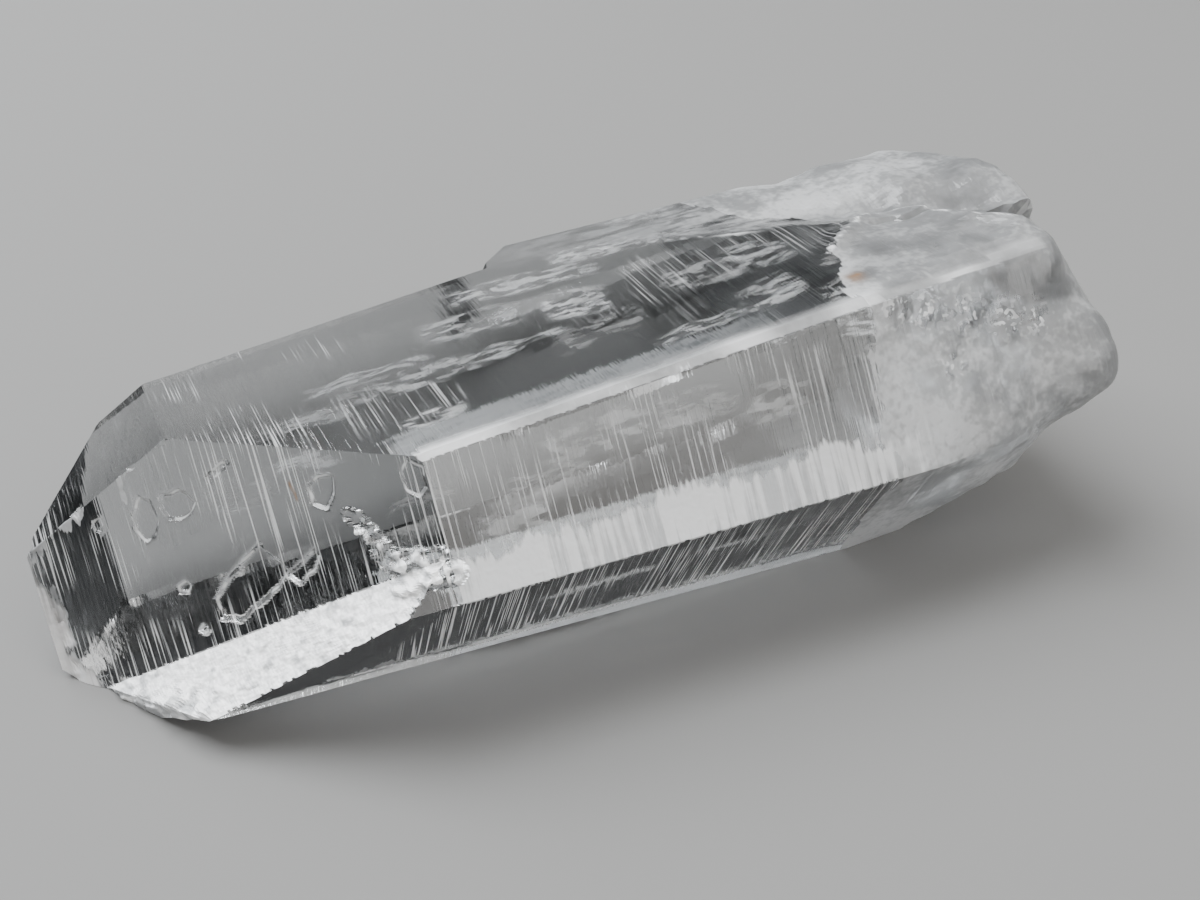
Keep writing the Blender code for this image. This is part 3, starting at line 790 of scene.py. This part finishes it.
def laid_down(place):
    """From the crystal's own axes to the row frame: rolled, raised and lifted."""
    rise, roll = math.radians(-AXIS_RISE), math.radians(AXIS_ROLL)
    roll_matrix = np.array([
        [1, 0, 0], [0, math.cos(roll), -math.sin(roll)], [0, math.sin(roll), math.cos(roll)]
    ])
    rise_matrix = np.array([
        [math.cos(rise), 0, math.sin(rise)], [0, 1, 0], [-math.sin(rise), 0, math.cos(rise)]
    ])
    turned_place = place @ (rise_matrix @ roll_matrix).T
    return (turned_place + np.array([*CENTRE_SHIFT, AXIS_HEIGHT])) * MM


def mesh_from(name, place, triangles):
    """A mesh from whole arrays of points and triangles."""
    mesh = bpy.data.meshes.new(name)
    mesh.vertices.add(len(place))
    mesh.vertices.foreach_set("co", place.astype(np.float32).ravel())
    mesh.loops.add(triangles.size)
    mesh.loops.foreach_set("vertex_index", triangles.astype(np.int32).ravel())
    mesh.polygons.add(len(triangles))
    mesh.polygons.foreach_set("loop_start", np.arange(len(triangles), dtype=np.int32) * 3)
    mesh.update(calc_edges=True)
    mesh.validate()
    return mesh


rows = len(starts)
tip_point = starts[0]
root_heading = turned(np.array([0.0]), np.array([math.pi / 2]))
root_length = rounded_reach(starts[-1][None, :], root_heading)[0]
root_point = starts[-1] + root_heading[0] * root_length
everything = np.concatenate([points.reshape(-1, 3), tip_point[None, :], root_point[None, :]])
placed = laid_down(everything)
LEAST_FALL = 1e-9
# A point below the level cut slides back along its ray until it lies on the cut.
inner = laid_down(np.concatenate([origin.reshape(-1, 3), tip_point[None, :], starts[-1:]]))
back = inner[:, 2] / np.maximum(inner[:, 2] - placed[:, 2], LEAST_FALL)
placed = inner + (placed - inner) * np.where(placed[:, 2] < 0, back, 1.0)[:, None]
placed[:, 2] = np.maximum(placed[:, 2], 0.0)
crystal_mesh = mesh_from("crystal", placed, crystal_triangles(rows, COLUMNS))


def put_numbers(mesh, name, values, tip_value, root_value):
    """Keep one number for each point of the crystal's mesh."""
    numbers = np.concatenate([values.ravel(), [tip_value, root_value]]).astype(np.float32)
    mesh.attributes.new(name, "FLOAT", "POINT").data.foreach_set("value", numbers)


for name, values, tip_value, root_value in (
    ("frost", frost, 1.0, FROST_LIMIT), ("white", white, 0.0, -FROST_LIMIT),
    ("sheen_and_bruise_band", sheen_and_bruise_band, -FROST_LIMIT, -FROST_LIMIT), ("pit", pit, -PIT_LIMIT, -PIT_LIMIT),
    ("ridge", ridge, 0.0, 0.0), ("haze", haze, 0.0, 0.0), ("line_glint_strength", line_glint_strength, 0.0, 0.0),
    ("torn_and_glints", torn_and_glints, 0.0, 0.0), ("dim_and_hole_shade", dim_and_hole_shade, 0.0, 0.0), ("stain", stain, 0.0, 0.0),
):
    put_numbers(crystal_mesh, name, values, tip_value, root_value)
# Every triangle is shaded flat: the crystal's faces are flat, and its rounded and sugary places are grainy.
crystal_mesh.polygons.foreach_set("use_smooth", np.zeros(len(crystal_mesh.polygons), bool))

# Quartz: colourless and clear, with fine growth lines square to the long axis that bend what is seen through
# them; where it is frosted, bruised or sugary it is white and dull instead. Highlights on lines, edges, rims
# and torn places, and a reflection inside the upper front face, are painted in white.
CLEAR_COLOUR = (0.96, 0.965, 0.97, 1)
ABSORPTION_COLOUR = (0.40, 0.41, 0.415, 1)
ABSORPTION = 46.0
FROST_COLOUR = (0.56, 0.565, 0.57, 1)
FROST_DARK = (0.34, 0.345, 0.35, 1)
SUGAR_AND_HIGHLIGHT_WHITE = (0.95, 0.955, 0.96, 1)
SUGAR_GREY = (0.50, 0.51, 0.52, 1)
STAIN_COLOUR = (0.24, 0.12, 0.045, 1)
QUARTZ_IOR = 1.544
# Noises of the finish. The first three are drawn out round or along the crystal: their scale for a millimetre
# along its axis, then for a metre across it. The others have one scale for a metre.
LINES, FINE_LINES, WISPS = (2.2, 110), (10.0, 120), (0.22, 700)
PATCHES, CLOUDS, GRIT, SPECKLE = 130.0, 160.0, 900.0, 1900.0
# Relief in the shading: (strength, depth in metres).
PIT_BUMP, CLEAR_BUMP, FROST_BUMP, WHITE_BUMP = (0.8, 0.00025), (0.6, 0.00006), (0.5, 0.0001), (0.9, 0.00025)
# Millimetres over which frost comes in.
FROST_EDGE = (-0.10, 0.12)


def drawn_out_noise(finish, place, scales, detail, rough):
    """Noise drawn out round or along the crystal, from Object coordinates in metres: millimetres along its
    axis times the first scale, and metres to the side and up times the second."""
    rise = math.radians(AXIS_RISE)
    axis = (math.cos(rise) / MM, 0.0, math.sin(rise) / MM)
    along = finish.node("ShaderNodeVectorMath", {"operation": "DOT_PRODUCT"}, {0: place, 1: axis}, output=1)
    side, up = (finish.node("ShaderNodeSeparateXYZ", {}, {0: place}, output=number) for number in (1, 2))
    lengthwise, crosswise = scales
    at = finish.node(
        "ShaderNodeCombineXYZ", {}, {0: along * lengthwise, 1: side * crosswise, 2: up * crosswise}
    )
    return finish.noise(at, 1.0, detail, rough)


def quartz_finish():
    """Clear, frosted and sugary quartz, faded into each other by how far inside each a place is, with painted
    highlights and a painted inner reflection in white.
    """
    quartz = Finish("quartz")
    place = quartz.node("ShaderNodeTexCoord", output=3)
    lines = drawn_out_noise(quartz, place, LINES, 2.0, 0.6)
    fine_lines = drawn_out_noise(quartz, place, FINE_LINES, 1.0, 0.5)
    wisps = drawn_out_noise(quartz, place, WISPS, 2.0, 0.6)
    patches = quartz.noise(place, PATCHES, 1.0, 0.5)
    clouds = quartz.noise(place, CLOUDS, 2.0, 0.5)
    grit = quartz.noise(place, GRIT, 1.0, 0.6)
    speckle = quartz.noise(place, SPECKLE, 1.0, 0.62)
    pit, torn_and_glints, dim_and_hole_shade, line_glint_strength = (quartz.attribute(name) for name in ("pit", "torn_and_glints", "dim_and_hole_shade", "line_glint_strength"))

    # Relief: pit walls, growth lines and torn places on the clear faces, and a fine grain on the dull ones.
    hollow = quartz.bump(*PIT_BUMP, pit.rise(-0.10, 0.16), invert=True)
    clear_height = lines + fine_lines * 0.3 + torn_and_glints * grit * 10
    clear_relief = quartz.bump(*CLEAR_BUMP, clear_height, Normal=hollow)
    frost_relief = quartz.bump(*FROST_BUMP, speckle)
    white_relief = quartz.bump(*WHITE_BUMP, speckle)

    # Where it is dull (share), and where it is white: painted highlights along thin growth lines, a painted
    # reflection band, pit rims and the bevel, plus the bruised strip's own white.
    ragged = (grit - 0.5) * 1.2 + (lines - 0.5) * 2.4
    frost_share = (quartz.attribute("frost") + ragged).rise(*FROST_EDGE)
    white_share = (quartz.attribute("white") + ragged).rise(*FROST_EDGE)
    # Painted highlights: thin white lines along the growth lines on clear faces.
    painted_line_glints = fine_lines.rise(0.56, 0.66) * (patches + line_glint_strength).rise(0.52, 0.66) * (0.45 + line_glint_strength * 2.5)
    patchy = 0.45 + 0.5 * (patches + lines - 0.5).rise(0.36, 0.60)
    # Painted reflection and brow highlight in white, and the bruised strip's own white.
    sheen_and_bruise = (quartz.attribute("sheen_and_bruise_band") + ragged * 0.9).rise(-0.1, 0.6) * patchy
    hazy = quartz.attribute("haze") * wisps.rise(0.34, 0.62) * 0.65
    # Painted highlight: thin white rims round the pits.
    painted_rim_glint = (1 - (pit - 0.02).size().rise(0.03, 0.14)) * grit.rise(0.42, 0.56)
    # Painted highlight: white on the ridge face, beside it and along the streak.
    painted_bevel_glint = quartz.attribute("ridge") * (0.5 + 0.45 * patches.rise(0.40, 0.60))
    holes = torn_and_glints * grit.rise(0.46, 0.56)
    cloudy = 0.65 + 0.35 * (clouds + grit * 0.3).rise(0.52, 0.72)
    painted_highlights = (painted_line_glints * (1 - frost_share)).at_least(sheen_and_bruise)
    # Painted glints: white specks in the torn places; pit rims and the bevel join the painted highlights.
    painted_highlights = painted_highlights.at_least(torn_and_glints * speckle.rise(0.56, 0.62)).at_least(painted_rim_glint * 0.8).at_least(painted_bevel_glint)
    stain = quartz.attribute("stain") * grit.rise(0.20, 0.40)
    share = frost_share * (1 - holes * 0.85) * (1 - dim_and_hole_shade * 0.6) * cloudy
    share = share.at_least(painted_highlights).at_least(hazy).at_least(stain)

    lightness = (clouds + (speckle - 0.5) * 0.7 - dim_and_hole_shade * 0.3).rise(0.35, 0.65)
    colour = quartz.mix(lightness, FROST_DARK, FROST_COLOUR)
    # Painted highlights and reflection turn the colour white; the sugar's white is its own.
    colour = quartz.mix(painted_highlights, colour, SUGAR_AND_HIGHLIGHT_WHITE)
    colour = quartz.mix(stain, colour, STAIN_COLOUR)
    sugar = quartz.mix((grit + clouds * 0.5 - dim_and_hole_shade * 0.45).rise(0.54, 0.74), SUGAR_GREY, SUGAR_AND_HIGHLIGHT_WHITE)
    clear = quartz.node("ShaderNodeBsdfPrincipled", {}, {
        "Base Color": CLEAR_COLOUR, "Roughness": 0.02, "IOR": QUARTZ_IOR, "Transmission Weight": 1.0,
        "Normal": clear_relief,
    })
    dull = quartz.node("ShaderNodeBsdfPrincipled", {}, {
        "Base Color": colour, "Roughness": 0.38, "IOR": QUARTZ_IOR, "Transmission Weight": 0.45,
        "Normal": frost_relief,
    })
    sugary = quartz.node("ShaderNodeBsdfPrincipled", {}, {
        "Base Color": sugar, "Roughness": 0.35, "IOR": QUARTZ_IOR, "Normal": white_relief,
    })
    quartz.surface(quartz.blend(white_share, quartz.blend(share, clear, dull), sugary))
    dimming = quartz.node(
        "ShaderNodeVolumeAbsorption", {}, {"Color": ABSORPTION_COLOUR, "Density": ABSORPTION}
    )
    quartz.inside(dimming)
    return quartz.data


crystal_mesh.materials.append(quartz_finish())
crystal = put_object("crystal", crystal_mesh)
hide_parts("quartz_crystal")
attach(crystal, "root")

# The veils: healed cracks inside the quartz, thin curved sheets of countless tiny bubbles that run mostly
# along its length. Each sheet is one grid, white where its bubbles are dense and clear elsewhere.
# (middle in crystal millimetres, length, width, turn about the long axis, turn about the vertical, density)
VEILS = (
    ((2.7, -3.6, 5.8), 5.0, 1.6, 20, 4, 0.85), ((3.0, 1.5, 5.5), 12.0, 2.6, 35, -3, 0.55),
    ((1.0, 4.5, 4.0), 10.0, 2.2, -20, 2, 0.45), ((9.0, 5.5, 6.4), 9.0, 3.0, 25, -4, 0.55),
    ((10.5, 1.5, 5.6), 9.0, 2.4, -30, 3, 0.5), ((16.0, 3.8, 6.6), 5.5, 3.6, 15, -8, 0.9),
    ((16.5, 1.0, 4.5), 8.0, 3.0, 50, 6, 0.55), ((14.0, 8.5, 6.8), 13.0, 2.8, 10, -5, 0.6),
    ((22.0, 9.2, 7.6), 12.0, 2.6, -15, -8, 0.7), ((25.5, 2.6, 6.6), 7.0, 3.0, 30, -10, 0.6),
    ((22.0, -3.5, 6.4), 8.0, 2.2, -25, 4, 0.5), ((28.5, -2.0, 6.0), 6.0, 3.6, 20, 12, 0.7),
    ((12.0, -6.5, 4.5), 9.0, 3.0, 70, 3, 0.45), ((18.5, -7.0, 4.6), 8.0, 3.2, 85, -3, 0.5),
    ((8.0, -8.0, 3.8), 7.0, 2.4, 100, 2, 0.45), ((24.5, -8.0, 4.0), 6.0, 3.2, 75, 5, 0.5),
    ((5.0, -8.5, 1.2), 6.0, 2.2, 60, -4, 0.5), ((0.5, -6.4, 3.6), 4.0, 2.6, 110, 8, 0.5),
    ((-3.5, 2.0, 3.0), 6.0, 2.0, 15, 0, 0.35), ((-8.0, 3.0, 1.0), 6.0, 2.0, 60, 0, 0.3),
    ((31.0, 4.0, 5.0), 6.0, 4.0, 10, -15, 0.8), ((33.0, -5.0, 5.5), 5.0, 4.5, 40, 10, 0.8),
)
VEIL_STEPS = (36, 12)
VEIL_BEND, VEIL_BEND_SIZE = 0.35, 4.0
VEIL_COLOUR, VEIL_ROUGHNESS = (0.93, 0.935, 0.94, 1), 0.7
VEIL_RIM = 0.55
VEIL_STREAKS = (0.45, 1500)


def veil_sheet(middle, length, width, roll, yaw):
    """A grid in a plane turned by roll and yaw, bent by soft waves, and how far inside its rim each point is:
    one less the larger square of the two shares from the middle."""
    steps = [np.linspace(-1, 1, count) for count in VEIL_STEPS]
    along, across = np.meshgrid(*steps, indexing="ij")
    roll, yaw = math.radians(roll), math.radians(yaw)
    run = np.array([math.cos(yaw), math.sin(yaw), 0.0])
    side = np.array([-math.sin(yaw) * math.cos(roll), math.cos(yaw) * math.cos(roll), math.sin(roll)])
    out = np.cross(run, side)
    place = middle + along[..., None] * run * length / 2 + across[..., None] * side * width / 2
    place = place + out * (VEIL_BEND * waves(place, VEIL_BEND_SIZE, seed=31))[..., None]
    return place, (1 - along**2) * (1 - across**2)


def grid_quads(first, shape):
    """The four corners of every cell of a grid whose points start at a given number."""
    number = first + np.arange(shape[0] * shape[1]).reshape(shape)
    corners = [number[:-1, :-1], number[1:, :-1], number[1:, 1:], number[:-1, 1:]]
    return np.stack(corners, axis=-1).reshape(-1, 4)


def veils_mesh():
    """All the sheets in one mesh, with each point's density of bubbles."""
    places, densities, quads, count = [], [], [], 0
    for middle, length, width, roll, yaw, density in VEILS:
        place, inside = veil_sheet(np.array(middle), length, width, roll, yaw)
        places.append(place.reshape(-1, 3))
        densities.append((density * smooth(inside, 0.0, VEIL_RIM)).ravel())
        quads.append(grid_quads(count, VEIL_STEPS))
        count += VEIL_STEPS[0] * VEIL_STEPS[1]
    mesh = bpy.data.meshes.new("veils")
    mesh.from_pydata(laid_down(np.concatenate(places)), [], np.concatenate(quads).tolist())
    mesh.attributes.new("bubbles", "FLOAT", "POINT").data.foreach_set(
        "value", np.concatenate(densities).astype(np.float32)
    )
    mesh.polygons.foreach_set("use_smooth", np.ones(len(mesh.polygons), bool))
    return mesh


def veil_finish():
    """White bubbles, dense in streaks along the crystal and fading to nothing at a sheet's rim."""
    veil = Finish("veil_bubbles")
    place = veil.node("ShaderNodeTexCoord", output=3)
    streaks = drawn_out_noise(veil, place, VEIL_STREAKS, 2.0, 0.62)
    veil.surface(veil.node("ShaderNodeBsdfPrincipled", {}, {
        "Base Color": VEIL_COLOUR, "Roughness": VEIL_ROUGHNESS,
        "Alpha": streaks.rise(0.40, 0.62) * veil.attribute("bubbles"),
    }))
    return veil.data


veil_mesh = veils_mesh()
veil_mesh.materials.append(veil_finish())
veils = put_object("veils", veil_mesh)
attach(veils, "root")
